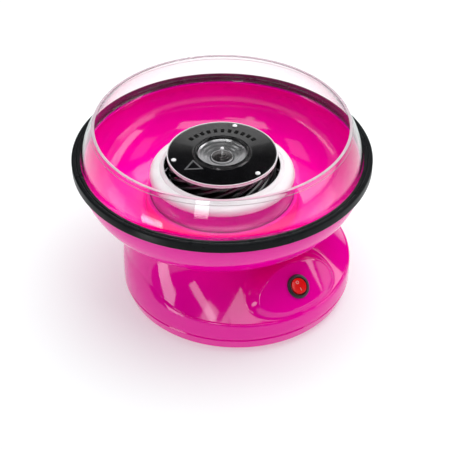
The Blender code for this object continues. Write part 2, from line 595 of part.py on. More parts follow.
def make_switch(looks, pod, rocker_body, shell):
    """Round rocker switch, built square to the pod's face."""
    outline = [(0, -14), (SWITCH_BARREL_R, -14), (SWITCH_BARREL_R, GAP), (SWITCH_R, GAP),
               (SWITCH_R, 1.4), (11.1, 2.3), (9.3, 2.5), (8.5, 1.7), (8.5, -12), (0, -12)]
    housing = turned("switch_housing", outline, looks["black"], pod)
    opening = turned("switch_hole", [(0, -20), (SWITCH_BARREL_R + GAP, -20),
                                     (SWITCH_BARREL_R + GAP, 12), (0, 12)], None, None,
                     at=(0, POD_Y, POD_Z), turn=(POD_TILT, 0, 0))
    combine(shell, opening)
    half = 2.3
    dip = 0.5
    top = [(ROCKER_R * t, half - dip * (1 - t * t)) for t in (0, 0.5, 0.92)]
    rocker = turned("switch_rocker", [(0, -half), (ROCKER_R - 0.5, -half), (ROCKER_R, -half + 0.5),
                                      (ROCKER_R, half - 0.6), *reversed(top)],
                    looks["red"], rocker_body)
    pin_r, pin_half = 0.9, 9.3
    hole = turned("rocker_pin_hole", [(0, -12), (pin_r + GAP, -12), (pin_r + GAP, 12), (0, 12)],
                  None, None, SMALL, at=(0, 0, ROCKER_PIVOT), turn=(0, 90, 0))
    hole.parent = pod
    combine(rocker, hole)
    short_hole = turned("pin_seat", [(0, -9.6), (pin_r + GAP, -9.6), (pin_r + GAP, 9.6), (0, 9.6)],
                        None, None, SMALL, at=(0, 0, ROCKER_PIVOT), turn=(0, 90, 0))
    short_hole.parent = pod
    combine(housing, short_hole)
    turned("rocker_pin", [(0, -pin_half), (pin_r, -pin_half), (pin_r, pin_half), (0, pin_half)],
           looks["steel"], pod, SMALL, at=(0, 0, ROCKER_PIVOT), turn=(0, 90, 0))


def make_wiring(looks, base, shell):
    """Rear cord gland, terminal block and the leads clipped between the housings."""
    wall_y = base_reach(180, BASE_R)
    clip_top = -SHELL_WALL - 1.5
    gland = [(3.5, clip_top - 2), (8.2, clip_top - 2), (8.2, clip_top), (6.6, clip_top),
             (6.6, GAP), (9.0, GAP), (9.0, 2.8), (7.4, 4.0), (5.8, 14.0), (3.5, 14.0)]
    turned("cord_gland", gland, looks["rubber"], base, 16, at=(0, wall_y, GLAND_Z),
           turn=(-90, 0, 0))
    hole = turned("gland_hole", [(0, -9), (6.9, -9), (6.9, 9), (0, 9)], None, None, 16,
                  at=(0, wall_y, GLAND_Z), turn=(-90, 0, 0))
    combine(shell, hole)
    block = prism("terminal_block", rectangle(40, 52, 4, 36), PAN_FLOOR_Z + GAP, 18.0,
                  looks["ivory"], base)
    bevel = block.modifiers.new("edges", "BEVEL")
    bevel.width = 1.0 * MM
    bevel.segments = 1
    lead_r = 1.4
    lead("wire_supply", [(0, wall_y - 6.4, GLAND_Z), (4, 74, 25), (22, 66, 18), (40, 52, 13),
                         (46, 42, 11.5), (46, 36.4, 11.5)], lead_r, looks["lead"], base)
    lead("wire_switch", [(52.9, 12, 12), (56, 11.5, 12), (61, 2, 13), (62, -20, 14), (54, -60, 15),
                         (30, -88, 20), (8, -100, 29), (2, -103.6, 34)], lead_r,
         looks["lead"], base)
    lead("wire_motor", [(39.3, 20, 12), (36.8, 19, 12), (34.8, 12, 14), (34, 3, 20),
                        (31.9, 0, 26)], lead_r, looks["lead"], base)


def make_looks():
    return {
        "pink": finish("glossy_pink", (0.80, 0.0, 0.24), 0.16),
        "black": finish("satin_black", (0.012, 0.012, 0.013), 0.38),
        "ring": finish("black_rim", (0.012, 0.013, 0.014), 0.32),
        "clear": finish("clear_acrylic", (0.95, 0.94, 0.95), 0.04, alpha=0.3),
        "aluminium": finish("satin_aluminium", (0.84, 0.84, 0.85), 0.28, 1.0),
        "steel": finish("bright_steel", (0.75, 0.75, 0.76), 0.2, 1.0),
        "zinc": finish("zinc_plated", (0.62, 0.63, 0.65), 0.35, 1.0),
        "brass": finish("brass", (0.78, 0.58, 0.25), 0.25, 1.0),
        "copper": finish("copper", (0.75, 0.35, 0.2), 0.3, 1.0),
        "core": finish("varnished_core", (0.36, 0.14, 0.05), 0.45, 0.3),
        "carbon": finish("carbon", (0.04, 0.04, 0.045), 0.6),
        "brown": finish("phenolic", (0.16, 0.07, 0.03), 0.5),
        "ceramic": finish("ceramic", (0.85, 0.83, 0.78), 0.5),
        "felt": finish("felt", (0.55, 0.53, 0.5), 0.95),
        "rubber": finish("rubber", (0.02, 0.02, 0.02), 0.75),
        "fan": finish("fan_plastic", (0.7, 0.7, 0.68), 0.45),
        "ivory": finish("terminal_plastic", (0.82, 0.79, 0.7), 0.4),
        "lead": finish("lead_sleeve", (0.5, 0.06, 0.04), 0.45),
        "red": finish("red_rocker", (0.80, 0.008, 0.012), 0.22),
    }


def main():
    clear_scene()
    looks = make_looks()
    base = empty("base_frame")
    rotor = empty("rotor_axis", base)
    head = empty("head_axis", rotor)
    bowl_body = empty("bowl_axis", base)
    guard_body = empty("guard_axis", bowl_body)
    pod = empty("pod_frame", base, (0, POD_Y, POD_Z), POD_TILT)
    rocker_body = empty("rocker_axis", pod, (0, 0, ROCKER_PIVOT), -ROCKER_REST)
    shell = make_base(looks, base)
    cup = make_cup(looks["aluminium"], base)
    make_heater(looks, base, cup, shell)
    make_cup_screws(looks, base, cup, shell)
    make_bowl(looks["pink"], looks["ring"], looks["clear"], bowl_body, guard_body)
    make_head(looks, head, rotor)
    make_rotor(looks, rotor)
    make_motor(looks, base, shell)
    make_switch(looks, pod, rocker_body, shell)
    make_wiring(looks, base, shell)


main()
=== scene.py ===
import json
from math import cos, hypot, pi, radians, sin, sqrt

import bmesh
import bpy
from mathutils import Matrix, Vector


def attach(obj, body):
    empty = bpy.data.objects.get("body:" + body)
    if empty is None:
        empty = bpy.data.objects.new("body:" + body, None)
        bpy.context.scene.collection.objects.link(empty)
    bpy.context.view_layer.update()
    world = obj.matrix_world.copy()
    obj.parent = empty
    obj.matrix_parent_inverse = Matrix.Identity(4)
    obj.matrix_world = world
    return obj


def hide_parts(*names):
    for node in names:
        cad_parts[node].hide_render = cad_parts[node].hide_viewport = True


# Finished looks of the home cotton candy machine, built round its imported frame.
# Lengths are in millimetres and become metres when a mesh is made. The spinning axis is
# X = Y = 0, the table is Z = 0 and the switch faces -Y.

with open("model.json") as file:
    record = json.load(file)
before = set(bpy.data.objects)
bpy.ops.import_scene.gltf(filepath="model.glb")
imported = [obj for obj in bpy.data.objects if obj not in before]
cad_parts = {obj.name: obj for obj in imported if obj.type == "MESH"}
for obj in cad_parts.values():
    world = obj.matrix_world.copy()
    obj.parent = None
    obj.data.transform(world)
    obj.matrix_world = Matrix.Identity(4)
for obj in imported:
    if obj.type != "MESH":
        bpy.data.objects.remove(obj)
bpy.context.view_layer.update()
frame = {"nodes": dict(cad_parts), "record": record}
scene = bpy.context.scene

MM = 0.001
GAP = 0.3
FINE, ROUND, SMALL = 256, 96, 40          # facets round large, middle and small pieces

# The frame's driving sizes
BOWL_CURVE_R, BOWL_CURVE_Z = 80.0, 134.0
BOWL_HALF_W, BOWL_HALF_H = 59.0, 56.0
BOWL_WALL = 2.6
BOWL_FLANGE_R, BOWL_LEDGE_R, BOWL_TOP_Z = 141.5, 132.6, 138.0
HUB_IN_R, HUB_OUT_R, HUB_TOP_Z = 71.3, 75.0, 98.6
RIM_R, RIM_TOP_Z, RIM_BOTTOM_Z, RIM_IN_R, RIM_GROOVE_R = 145.0, 143.5, 134.5, 136.5, 140.4
GUARD_FOOT_R, GUARD_TOP_R, GUARD_TOP_Z, GUARD_WALL = 136.1, 123.6, 177.1, 2.3
GUARD_STRAIGHT_Z, GUARD_BULGE = 144.0, 1.5
CUP_R, CUP_SHOULDER_Z, CUP_WALL, CUP_FLOOR_Z = 70.8, 118.0, 1.0, 84.5
CUP_CREASE_R, CUP_CREASE_Z, CUP_LIP_R, CUP_LIP_Z = 61.2, 126.4, 56.5, 128.8
HEAD_R, HEAD_TOP_Z, PLATE_FACE_Z = 53.8, 142.4, 141.9
FUNNEL_LOW_R, FUNNEL_HIGH_R, FUNNEL_LOW_Z, FUNNEL_HIGH_Z = 11.9, 22.8, 136.8, 140.6
RIVET_RING_R, RIVET_FIRST_ANGLE = 48.0, 37.4
VANES, VANE_OUT_R, VANE_IN_R, VANE_TWIST = 18, 52.0, 49.9, 66.0
VANE_LOW_Z, VANE_HIGH_Z = 108.3, 138.2
SHAFT_TOP_Z, BORE_R, PIN_Z = 129.0, 4.35, 99.5
BASE_SHIFT, BASE_R = 23.6, 113.0
PAN_BOTTOM_Z, PAN_FLOOR_Z, SEAM_Z = 3.5, 6.3, 17.0
CREASE_FRONT_Z, CREASE_RISE = 34.0, 11.0
CREASE_FADE_START, CREASE_FADE = 52.0, 36.0
SCOOP_DEPTH, SCOOP_ANGLE, TOP_LEAN = 54.6, 100.0, 4.0
SHELL_WALL, BOWL_REST_GAP = 2.4, 0.8
DECK_Z, DECK_HOLE_R, DECK_EDGE_R = 77.2, 31.0, 74.0
POD_Y, POD_Z, POD_TILT = -118.5, 53.0, 46.0
POD_FACE_X, POD_FACE_DOWN, POD_FACE_UP = 42.0, 19.0, 22.0
POD_FOOT_X, POD_FOOT_DOWN, POD_FOOT_UP = 52.0, 27.0, 46.0
POD_FLAT_X, POD_CROWN_R = 12.0, 115.0
SWITCH_R, SWITCH_BARREL_R, ROCKER_R = 11.75, 9.9, 7.8
ROCKER_PIVOT, ROCKER_REST = 0.6, 8.0
FOOT_RING_R, SCREW_RING_R = 85.0, 100.0
SCREW_ANGLES = (20, 160, 200, 340)
GLAND_Z, GLAND_HOLE_R = 27.0, 6.9
LIGHT_AIM_Z = 0.06                        # metres; every soft box points at this height


# ---------------------------------------------------------------- materials

def surface(name, rgb, roughness, metallic=0.0, mottle=0.04, mottle_size=12.0, smudge=0.05,
            smudge_size=30.0, grain=0.02, grain_size=0.6, lathe=False, **sockets):
    """Principled finish with colour mottle, uneven gloss and a fine surface grain.

    Sizes are in millimetres. lathe=True draws the grain as fine rings round the piece's axis.
    """
    made = bpy.data.materials.new(name)
    made.use_nodes = True
    nodes, links = made.node_tree.nodes, made.node_tree.links
    shader = nodes["Principled BSDF"]
    shader.inputs["Metallic"].default_value = metallic
    for socket, value in sockets.items():
        shader.inputs[socket.replace("_", " ")].default_value = value
    place = nodes.new("ShaderNodeTexCoord").outputs["Object"]
    grain_place = place
    if lathe:
        split = nodes.new("ShaderNodeSeparateXYZ")
        links.new(place, split.inputs[0])
        flat = nodes.new("ShaderNodeCombineXYZ")
        links.new(split.outputs["X"], flat.inputs["X"])
        links.new(split.outputs["Y"], flat.inputs["Y"])
        length = nodes.new("ShaderNodeVectorMath")
        length.operation = "LENGTH"
        links.new(flat.outputs[0], length.inputs[0])
        rings = nodes.new("ShaderNodeCombineXYZ")
        links.new(length.outputs["Value"], rings.inputs["X"])
        links.new(split.outputs["Z"], rings.inputs["Z"])
        grain_place = rings.outputs[0]

    def noise(vector, size, detail):
        texture = nodes.new("ShaderNodeTexNoise")
        texture.inputs["Scale"].default_value = 1 / (size * MM)
        texture.inputs["Detail"].default_value = detail
        links.new(vector, texture.inputs["Vector"])
        return texture.outputs["Fac"]

    def spread(value, low, high):
        ramp = nodes.new("ShaderNodeMapRange")
        ramp.inputs["From Min"].default_value = 0.3
        ramp.inputs["From Max"].default_value = 0.7
        ramp.inputs["To Min"].default_value = low
        ramp.inputs["To Max"].default_value = high
        links.new(value, ramp.inputs["Value"])
        return ramp.outputs["Result"]

    blend = nodes.new("ShaderNodeMix")
    blend.data_type = "RGBA"
    links.new(spread(noise(place, mottle_size, 3.0), 0.0, 1.0), blend.inputs["Factor"])
    blend.inputs["A"].default_value = (*[c * (1 - mottle) for c in rgb], 1.0)
    blend.inputs["B"].default_value = (*[min(c * (1 + mottle), 1.0) for c in rgb], 1.0)
    links.new(blend.outputs["Result"], shader.inputs["Base Color"])
    links.new(spread(noise(place, smudge_size, 4.0), max(roughness - smudge, 0.02),
                     roughness + smudge), shader.inputs["Roughness"])
    bump = nodes.new("ShaderNodeBump")
    bump.inputs["Strength"].default_value = 1.0
    bump.inputs["Distance"].default_value = grain * MM
    links.new(noise(grain_place, grain_size, 2.0), bump.inputs["Height"])
    links.new(bump.outputs["Normal"], shader.inputs["Normal"])
    return made


def make_looks():
    """Every finish by name: first the record's slots, then finer looks used inside a slot; some of
    these looks carry painted highlight or painted shade.
    """
    return {
        "pink_gloss": surface("pink_gloss", (0.93, 0.0, 0.385), 0.07, mottle=0.03, mottle_size=40,
                              smudge=0.02, smudge_size=25, grain=0.003, grain_size=3.0,
                              Specular_IOR_Level=0.42),
        "black_rim": surface("black_rim", (0.007, 0.008, 0.009), 0.3, grain=0.012, mottle=0.2,
                             Specular_IOR_Level=0.07),
        "clear_acrylic": surface("clear_acrylic", (0.985, 0.97, 0.98), 0.025, mottle=0.004,
                                 smudge=0.012, grain=0.003, grain_size=8.0,
                                 Transmission_Weight=1.0, IOR=1.47),
        "aluminium": surface("aluminium", (0.9, 0.9, 0.91), 0.4, 0.55, mottle=0.03, smudge=0.04,
                             grain=0.01, grain_size=0.5, lathe=True),
        "black_enamel": surface("black_enamel", (0.003, 0.003, 0.0035), 0.16, mottle=0.3,
                                smudge=0.04, grain=0.006, grain_size=1.5, Coat_Weight=0.3),
        "switch_black": surface("switch_black", (0.02, 0.02, 0.023), 0.32, mottle=0.2),
        "switch_red": surface("switch_red", (0.86, 0.004, 0.006), 0.2, mottle=0.08, mottle_size=5,
                              grain=0.004, grain_size=2.0, Specular_IOR_Level=0.25),
        "steel": surface("steel", (0.78, 0.78, 0.79), 0.2, 1.0, grain=0.006, lathe=True),
        "zinc_plate": surface("zinc_plate", (0.62, 0.63, 0.66), 0.36, 1.0, mottle=0.12,
                              mottle_size=4, grain=0.01),
        "brass": surface("brass", (0.80, 0.66, 0.44), 0.22, 1.0, mottle=0.06, grain=0.008,
                         grain_size=0.4, lathe=True),
        "copper": surface("copper", (0.78, 0.36, 0.2), 0.3, 1.0, mottle=0.15, mottle_size=2),
        "varnished_core": surface("varnished_core", (0.36, 0.14, 0.05), 0.42, 0.3, mottle=0.35,
                                  mottle_size=1.5, grain=0.12, grain_size=0.7),
        "carbon": surface("carbon", (0.04, 0.04, 0.045), 0.62, mottle=0.3, mottle_size=1.2),
        "phenolic": surface("phenolic", (0.16, 0.07, 0.03), 0.5, mottle=0.25, mottle_size=2),
        "ceramic": surface("ceramic", (0.85, 0.83, 0.78), 0.45, mottle=0.05, grain=0.03),
        "felt": surface("felt", (0.55, 0.53, 0.5), 0.95, mottle=0.25, mottle_size=1.2, grain=0.25,
                        grain_size=0.4),
        "rubber": surface("rubber", (0.022, 0.022, 0.022), 0.72, mottle=0.25, mottle_size=3,
                          grain=0.03, grain_size=0.4),
        "fan_plastic": surface("fan_plastic", (0.7, 0.7, 0.68), 0.42),
        "terminal_plastic": surface("terminal_plastic", (0.82, 0.79, 0.7), 0.4),
        "lead_sleeve": surface("lead_sleeve", (0.5, 0.06, 0.04), 0.4, grain=0.02, grain_size=0.8),
        # painted highlight: pale, mostly matte metal that shows white where the real metal would
        # mirror the bright light above
        "painted_highlight_metal": surface("painted_highlight_metal", (0.77, 0.77, 0.78), 0.5, 0.2, mottle=0.03, smudge=0.04,
                             grain=0.01, grain_size=0.5, lathe=True),
        # painted shade and painted reflection: polished metal darkened and tinted pink, as the
        # cup's wall looks where it mirrors the pink bowl
        "polished_cup_painted_shade": surface("polished_cup_painted_shade", (0.46, 0.42, 0.47), 0.16, 1.0, mottle=0.05,
                                smudge=0.04, grain=0.004, grain_size=0.5, lathe=True),
        "spun_dish": surface("spun_dish", (0.52, 0.52, 0.53), 0.3, 0.9, mottle=0.12,
                             mottle_size=5.0, smudge=0.06, grain=0.02, grain_size=0.5, lathe=True),
        "dark_hub": surface("dark_hub", (0.2, 0.19, 0.19), 0.3, 1.0, mottle=0.2, mottle_size=2.0,
                            grain=0.03, grain_size=0.6, lathe=True),
        "mark_black": surface("mark_black", (0.006, 0.006, 0.006), 0.7, Specular_IOR_Level=0.1),
        "mark_grey": surface("mark_grey", (0.075, 0.075, 0.078), 0.5),
        "vane_grey": surface("vane_grey", (0.05, 0.05, 0.053), 0.34, mottle=0.2, mottle_size=3.0),
        "frosted_edge": surface("frosted_edge", (0.78, 0.66, 0.72), 0.3, mottle=0.01,
                                Transmission_Weight=0.6, IOR=1.3),
        # painted shade: opaque grey-pink for the dark lines seen along the clear guard's top edge
        "painted_shade_line": surface("painted_shade_line", (0.5, 0.42, 0.46), 0.4),
        "mark_white": surface("mark_white", (0.85, 0.55, 0.5), 0.3),
    }


# ---------------------------------------------------------------- mesh tools

def ring_faces(rings):
    """Faces between neighbouring rings of vertex numbers; a ring of one vertex is a pole."""
    faces = []
    for low, high in zip(rings, rings[1:]):
        count = max(len(low), len(high))
        for i in range(count):
            j = (i + 1) % count
            if len(low) == 1:
                faces.append((low[0], high[i], high[j]))
            elif len(high) == 1:
                faces.append((low[i], low[j], high[0]))
            else:
                faces.append((low[i], low[j], high[j], high[i]))
    return faces


def piece(name, verts, faces, body=None, slot=None, replaces=(), at=(0, 0, 0), turn=None,
          sharp=40, look=None):
    """A named piece from vertices in millimetres, riding on its body in its slot's finish."""
    mesh = bpy.data.meshes.new(name)
    mesh.from_pydata([Vector(v) * MM for v in verts], [], faces)
    shaped = bmesh.new()
    shaped.from_mesh(mesh)
    bmesh.ops.recalc_face_normals(shaped, faces=shaped.faces)
    shaped.to_mesh(mesh)
    shaped.free()
    mesh.shade_smooth()
    mesh.set_sharp_from_angle(angle=radians(sharp))
    made = bpy.data.objects.new(name, mesh)
    scene.collection.objects.link(made)
    made.matrix_world = Matrix.Translation(Vector(at) * MM) @ (turn or Matrix())
    if slot:
        mesh.materials.append(looks[look or slot])
    if body:
        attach(made, body)
    if replaces:
        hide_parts(*replaces)
    return made


def rounded(corners, steps=5):
    """A closed outline whose (radius, height, fillet) corners are rounded by curves."""
    outline = []
    count = len(corners)
    for i, corner in enumerate(corners):
        here = Vector(corner[:2])
        fillet = corner[2] if len(corner) > 2 else 0.0
        if fillet <= 0:
            outline.append(tuple(here))
            continue
        back = Vector(corners[i - 1][:2]) - here
        ahead = Vector(corners[(i + 1) % count][:2]) - here
        half = back.angle(ahead) / 2
        reach = min(fillet / max(sin(half) / cos(half), 0.05), back.length * 0.49,
                    ahead.length * 0.49)
        start = here + back.normalized() * reach
        end = here + ahead.normalized() * reach
        for step in range(steps + 1):
            t = step / steps
            outline.append(tuple(start * (1 - t) ** 2 + here * 2 * t * (1 - t) + end * t * t))
    return outline


def arc(centre_r, centre_z, half_w, half_h, start, end, steps):
    """Points on an ellipse arc, angles in degrees from the +radius direction."""
    angles = [radians(start + (end - start) * i / steps) for i in range(steps + 1)]
    return [(centre_r + half_w * cos(a), centre_z + half_h * sin(a)) for a in angles]


def turned(name, outline, facets=FINE, **place):
    """A solid turned about Z from a closed outline of (radius, height) points."""
    verts, rings = [], []
    for radius, height in outline:
        count = facets if radius > 0.001 else 1
        rings.append(range(len(verts), len(verts) + count))
        for i in range(count):
            angle = 2 * pi * i / facets
            verts.append((radius * cos(angle), radius * sin(angle), height))
    if outline[0][0] > 0.001:
        rings.append(rings[0])
    return piece(name, verts, ring_faces(rings), **place)


def prism(name, outline, low, high, **place):
    """A straight solid from a plan outline of (x, y) points."""
    count = len(outline)
    verts = [(x, y, z) for z in (low, high) for x, y in outline]
    faces = ring_faces([range(count), range(count, 2 * count)])
    faces += [tuple(range(count)), tuple(range(count, 2 * count))]
    return piece(name, verts, faces, **place)


def combine(target, guides, operation="DIFFERENCE"):
    """Cut or join closed guides into a piece for good, then throw the guides away."""
    for guide in guides:
        step = target.modifiers.new("shape", "BOOLEAN")
        step.operation = operation
        step.object = guide
    bpy.context.view_layer.update()
    shaped = target.evaluated_get(bpy.context.evaluated_depsgraph_get())
    result = bpy.data.meshes.new_from_object(shaped)
    target.modifiers.clear()
    target.data = result
    result.set_sharp_from_angle(angle=radians(40))
    for guide in guides:
        bpy.data.objects.remove(guide)


def merged(target, others):
    """Add other pieces' meshes to one piece as separate closed parts of it."""
    whole = bmesh.new()
    whole.from_mesh(target.data)
    for other in others:
        other.data.transform(target.matrix_world.inverted() @ other.matrix_world)
        whole.from_mesh(other.data)
        bpy.data.objects.remove(other)
    whole.to_mesh(target.data)
    whole.free()


def finish(made, name, body, look):
    """Name a mesh built from several closed parts, dress it and let it ride on its body."""
    made.name = name
    made.data.materials.append(looks[look])
    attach(made, body)


def around(radius, angle, centre_y=0.0):
    """The (x, y) point at a radius and an angle in degrees round (0, centre_y)."""
    return radius * cos(radians(angle)), centre_y + radius * sin(radians(angle))


def smoothstep(t):
    """0 below t = 0, 1 above t = 1 and a smooth S between."""
    t = min(max(t, 0.0), 1.0)
    return t * t * (3 - 2 * t)


# ---------------------------------------------------------------- base housing

def base_reach(angle, radius):
    """Distance from the spinning axis to the base's round outline, angle from the front."""
    return BASE_SHIFT * cos(angle) + sqrt(radius ** 2 - (BASE_SHIFT * sin(angle)) ** 2)


def bowl_outside_z(radius):
    """Height of the bowl's outer face at a radius."""
    across = max(radius - BOWL_CURVE_R, 0.0) / BOWL_HALF_W
    return BOWL_CURVE_Z - BOWL_HALF_H * sqrt(max(1 - across ** 2, 0.0))


def shell_column(angle, wall, slope_steps):
    """(radius, height) points up the housing at one angle from the front, one wall inside."""
    crease_z = CREASE_FRONT_Z + CREASE_RISE * (1 - cos(angle))
    scoop = SCOOP_DEPTH * (1 - smoothstep(angle / radians(SCOOP_ANGLE)))
    top_r = base_reach(angle, BASE_R) - TOP_LEAN - scoop
    top_z = bowl_outside_z(top_r) - BOWL_REST_GAP
    foot_r, foot_z = base_reach(angle, BASE_R - 2.4), crease_z
    soft = smoothstep((angle - radians(CREASE_FADE_START)) / radians(CREASE_FADE))
    lip = 3.4 + 12.0 * soft
    skirt = [(base_reach(angle, BASE_R - 1.2), SEAM_Z + GAP),
             (base_reach(angle, BASE_R - 0.5), SEAM_Z + GAP + 0.5),
             (base_reach(angle, BASE_R - 0.2), SEAM_Z + 2.5),
             (base_reach(angle, BASE_R), SEAM_Z + 5),
             (base_reach(angle, BASE_R - 0.05), crease_z - lip - 3),
             (base_reach(angle, BASE_R - 0.15), crease_z - lip)]
    slope = []
    for i in range(slope_steps + 1):
        s = 0.3 * soft + (1 - 0.3 * soft) * (i / slope_steps) ** 1.15
        inward = 1 - (1 - s) ** 1.4
        slope.append((foot_r + (top_r - foot_r) * inward, foot_z + (top_z - 1.4 - foot_z) * s))
    start, end = Vector(skirt[-1]), Vector(slope[1])
    corner = Vector((base_reach(angle, BASE_R - 0.35), crease_z + 0.25))
    fillet = []
    fillet_steps = 8
    for i in range(1, fillet_steps):
        t = i / fillet_steps
        fillet.append(tuple(start * (1 - t) ** 2 + corner * 2 * t * (1 - t) + end * t * t))
    deck = []
    for part in (1.0, 0.75, 0.5, 0.25, 0.0):
        radius = DECK_EDGE_R + (top_r - 1.3 - DECK_EDGE_R) * part
        deck.append((radius, bowl_outside_z(radius) - BOWL_REST_GAP))
    column = skirt + fillet + slope[1:] + deck + [(DECK_HOLE_R, DECK_Z)]
    if not wall:
        return column
    inner = []
    last = len(column) - 1
    for i, (r, z) in enumerate(column):
        (r0, z0), (r1, z1) = column[max(i - 1, 0)], column[min(i + 1, last)]
        length = hypot(r1 - r0, z1 - z0)
        inner.append((r + (z0 - z1) / length * wall, z + (r1 - r0) / length * wall))
    inner[0] = (column[0][0] - wall, column[0][1])
    inner[-1] = (column[-1][0], column[-1][1] - wall)
    return inner


def raise_pod(point, depth):
    """Lift a point of the front slope to the pod's face, or to depth behind it."""
    tilt = radians(POD_TILT)
    out = Vector((0, -sin(tilt), cos(tilt)))
    up = Vector((0, cos(tilt), sin(tilt)))
    away = point - Vector((0, POD_Y, POD_Z))
    x, u, below = point.x, away.dot(up), -away.dot(out) - depth
    face_u = POD_FACE_DOWN if u < 0 else POD_FACE_UP
    foot_u = POD_FOOT_DOWN if u < 0 else POD_FOOT_UP
    inside = hypot(x / POD_FACE_X, u / face_u)
    outside = hypot(x / POD_FOOT_X, u / foot_u)
    if outside >= 1 or below <= 0 or point.y > 0:
        return point
    share = 1.0
    if inside > 1:
        share = 1 - smoothstep((inside - 1) / ((inside - 1) + (1 - outside)))
    crown = max(abs(x) - POD_FLAT_X, 0.0) ** 2 / (2 * POD_CROWN_R)
    return point + out * max(below - crown, 0.0) * share


def pod_matrix(tilt=0.0, lift=0.0):
    """The pod face's tilt, then a lift along its normal and a further tilt of the rocker."""
    return Matrix.Rotation(radians(POD_TILT), 4, "X") @ Matrix.Translation((0, 0, lift * MM)) \
        @ Matrix.Rotation(radians(tilt), 4, "X")


def make_shell():
    """Pink upper housing with its fine crease, switch pod, switch hole and gland hole."""
    columns, crowding, slope_steps = 440, 0.45, 84
    grids = {0.0: [], SHELL_WALL: []}
    for i in range(columns):
        phase = 2 * pi * (i + 0.5) / columns
        angle = phase - crowding * sin(phase)
        turn = min(angle, 2 * pi - angle)
        for wall, grid in grids.items():
            grid.append([raise_pod(Vector((r * sin(angle), -r * cos(angle), z)), wall)
                         for r, z in shell_column(turn, wall, slope_steps)])
    outside, inside = grids.values()
    rows = len(outside[0])
    verts = [grid[c][r] for grid in (outside, inside) for r in range(rows) for c in range(columns)]
    rings = [range(r * columns, (r + 1) * columns) for r in range(2 * rows)]
    closed = rings[:rows] + rings[:rows - 1:-1] + rings[:1]
    shell = piece("housing", verts, ring_faces(closed), "base", "pink_gloss", ["base_shell"])
    switch_hole = turned("switch_hole", [(0, -20), (SWITCH_BARREL_R + GAP, -20),
                                         (SWITCH_BARREL_R + GAP, 12), (0, 12)], SMALL,
                         at=(0, POD_Y, POD_Z), turn=pod_matrix())
    gland_hole = turned("gland_hole", [(0, -9), (GLAND_HOLE_R, -9), (GLAND_HOLE_R, 9), (0, 9)],
                        SMALL, at=(0, base_reach(pi, BASE_R), GLAND_Z),
                        turn=Matrix.Rotation(radians(-90), 4, "X"))
    combine(shell, [switch_hole, gland_hole])


def make_pan():
    """Pink lower pan with its vent slots and the holes for the feet and the case screws."""
    outline = rounded([(0, PAN_BOTTOM_Z), (104.5, PAN_BOTTOM_Z, 1.5), (109.2, 4.6, 5.0),
                       (BASE_R - 0.45, SEAM_Z - 1.2), (BASE_R - 1.2, SEAM_Z, 0.4),
                       (BASE_R - 3, SEAM_Z), (106.6, 7.8, 3.0), (105.2, PAN_FLOOR_Z, 1.0),
                       (0, PAN_FLOOR_Z)], 6)
    pan = turned("underpan", outline, body="base", slot="pink_gloss", replaces=["base_pan"],
                 at=(0, -BASE_SHIFT, 0))
    cutters = []
    slots, slot_in, slot_out, half = 10, 44.0, 64.0, 1.7
    for i in range(slots):
        turn = 2 * pi * i / slots
        ends = []
        for centre, start in ((slot_out, -90), (slot_in, 90)):
            ends += [(centre + half * cos(a), half * sin(a))
                     for a in [radians(start + 30 * k) for k in range(7)]]
        cutters.append(prism(f"vent_{i}", ends, 0, 10, at=(0, -BASE_SHIFT, 0),
                             turn=Matrix.Rotation(turn, 4, "Z")))
    holes = [(*around(FOOT_RING_R, 45 + 90 * i, -BASE_SHIFT), 3.95, 12) for i in range(4)]
    for angle in SCREW_ANGLES:
        place = around(SCREW_RING_R, angle, -BASE_SHIFT)
        holes += [(*place, 1.9, 12), (*place, 4.0, 5.2)]
    for i, (x, y, radius, top) in enumerate(holes):
        cutters.append(turned(f"pan_hole_{i}", [(0, 0), (radius, 0), (radius, top), (0, top)],
                              SMALL, at=(x, y, 0)))
    combine(pan, cutters)


def make_feet():
    """Rubber feet: a flat tread with one groove, and a plug that goes up into the pan."""
    outline = rounded([(0, 0), (9.4, 0, 0.2), (9.8, 0.6, 0.2), (10.4, 0.6, 0.2), (10.8, 0, 0.2),
                       (11.4, 0, 0.5), (12.2, 1.0, 0.7), (10.6, 2.8, 0.6),
                       (6, PAN_BOTTOM_Z - GAP, 0.4), (3.6, PAN_BOTTOM_Z - GAP),
                       (3.6, 8.6, 0.4), (0, 9.4)])
    for i in range(4):
        x, y = around(FOOT_RING_R, 45 + 90 * i, -BASE_SHIFT)
        turned(f"rubber_foot_{i + 1}", outline, SMALL, body="base", slot="rubber",
               replaces=[f"foot_{i + 1}"], at=(x, y, 0))


def cross_recess(name, x, y, low, high):
    """Two crossed wedges that cut a screwdriver's recess."""
    arm, half = 1.7, 0.36
    return [prism(f"{name}_{k}", [(-arm, -half), (arm, -half), (arm, half), (-arm, half)], low,
                  high, at=(x, y, 0), turn=Matrix.Rotation(radians(90 * k + 12), 4, "Z"))
            for k in range(2)]


def make_screws():
    """Case screws seen from below, with domed heads, threads and a cross recess."""
    thread_low, thread_high, ridges = 6.6, 21.0, 12
    thread = []
    for k in range(ridges):
        z = thread_low + (thread_high - thread_low) * k / ridges
        thread += [(1.25, z), (1.6, z + 0.6)]
    outline = [(0, 3.6), (1.8, 3.65), (2.8, 3.9), (3.3, 4.4), (3.3, 4.9), (1.45, 4.9), *thread,
               (1.0, 21.2), (0, 22)]
    for i, angle in enumerate(SCREW_ANGLES):
        x, y = around(SCREW_RING_R, angle, -BASE_SHIFT)
        screw = turned(f"case_screw_head_{i + 1}", outline, SMALL, body="base", slot="steel",
                       replaces=[f"case_screw_{i + 1}"], at=(x, y, 0))
        combine(screw, cross_recess(f"recess_{i}", x, y, 3.0, 4.5))


# ---------------------------------------------------------------- bowl, rim and guard

